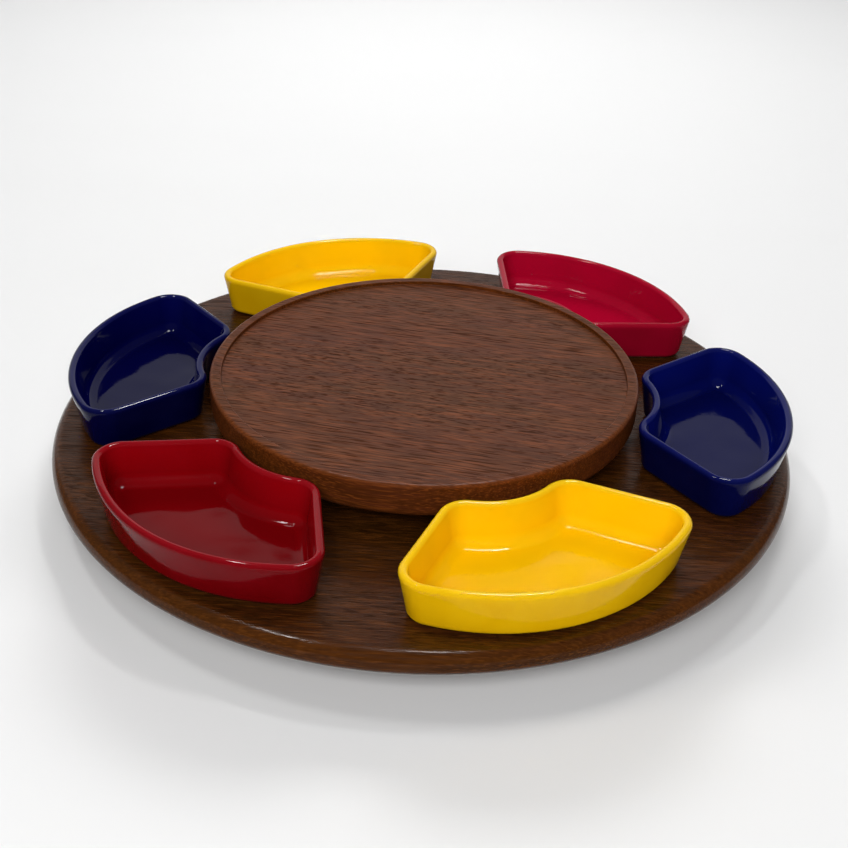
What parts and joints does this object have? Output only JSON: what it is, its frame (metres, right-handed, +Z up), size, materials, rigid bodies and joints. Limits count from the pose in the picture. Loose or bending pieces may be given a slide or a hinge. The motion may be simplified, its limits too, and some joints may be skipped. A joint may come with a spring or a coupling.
{
  "type": "turning chip and dip server",
  "caption": "Round wooden serving board that turns on a ball-bearing foot, with a raised lipped centre board and loose glazed wedge dishes round it.",
  "frame": {"origin": "on the table under the turning axis, at the bottom centre of the whole object", "axes": "+Z up along the turning axis; -Y towards a person at the front, with a yellow dish just right of front; +X to that person's right"},
  "size_m": [0.4599, 0.46, 0.0735],
  "materials": {
    "base_wood": "dark oiled and rubbed, satin",
    "centre_wood": "mid-brown open-grained, low satin",
    "riser_wood": "dark, satin",
    "foot_wood": "dark, satin",
    "glaze_yellow": "gloss glaze",
    "glaze_red": "gloss glaze",
    "glaze_blue": "gloss glaze",
    "plate_steel": "zinc plated, pressed",
    "eyelet_steel": "zinc plated, rolled",
    "ball_steel": "polished",
    "cage_brass": "stamped",
    "screw_brass": "brassed steel, satin",
    "rubber": "matt black"
  },
  "bodies": {
    "foot": {"foot_disc": "foot_wood", "foot_pads": "rubber", "foot_pad_screws": "screw_brass", "swivel_lower_plate": "plate_steel", "lower_plate_screws": "screw_brass"},
    "ball_ring": {"swivel_balls": "ball_steel", "ball_cage": "cage_brass"},
    "turntable": {"base_board": "base_wood", "centre_board": "centre_wood", "centre_riser": "riser_wood", "riser_screws": "screw_brass", "swivel_upper_plate": "plate_steel", "swivel_eyelet": "eyelet_steel", "upper_plate_screws": "screw_brass"},
    "dish_yellow_front": {"dish_yellow_front": "glaze_yellow"},
    "dish_blue_right": {"dish_blue_right": "glaze_blue"},
    "dish_red_right": {"dish_red_right": "glaze_red"},
    "dish_yellow_back": {"dish_yellow_back": "glaze_yellow"},
    "dish_blue_left": {"dish_blue_left": "glaze_blue"},
    "dish_red_left": {"dish_red_left": "glaze_red"}
  },
  "joints": [
    {"name": "turntable_spin", "type": "hinge", "parent": "foot", "child": "turntable", "pos_m": [0, 0, 0.02], "axis": [0, 0, 1], "continuous": true},
    {"name": "ball_ring_spin", "type": "hinge", "parent": "foot", "child": "ball_ring", "pos_m": [0, 0, 0.02], "axis": [0, 0, 1], "continuous": true},
    {"name": "lift_dish_yellow_front", "type": "slide", "parent": "turntable", "child": "dish_yellow_front", "axis": [0, 0, 1], "range_m": [0, 0.06]},
    {"name": "lift_dish_blue_right", "type": "slide", "parent": "turntable", "child": "dish_blue_right", "axis": [0, 0, 1], "range_m": [0, 0.06]},
    {"name": "lift_dish_red_right", "type": "slide", "parent": "turntable", "child": "dish_red_right", "axis": [0, 0, 1], "range_m": [0, 0.06]},
    {"name": "lift_dish_yellow_back", "type": "slide", "parent": "turntable", "child": "dish_yellow_back", "axis": [0, 0, 1], "range_m": [0, 0.06]},
    {"name": "lift_dish_blue_left", "type": "slide", "parent": "turntable", "child": "dish_blue_left", "axis": [0, 0, 1], "range_m": [0, 0.06]},
    {"name": "lift_dish_red_left", "type": "slide", "parent": "turntable", "child": "dish_red_left", "axis": [0, 0, 1], "range_m": [0, 0.06]}
  ],
  "couplings": [
    {"joint": "ball_ring_spin", "follows": "turntable_spin", "ratio": 0.5}
  ]
}
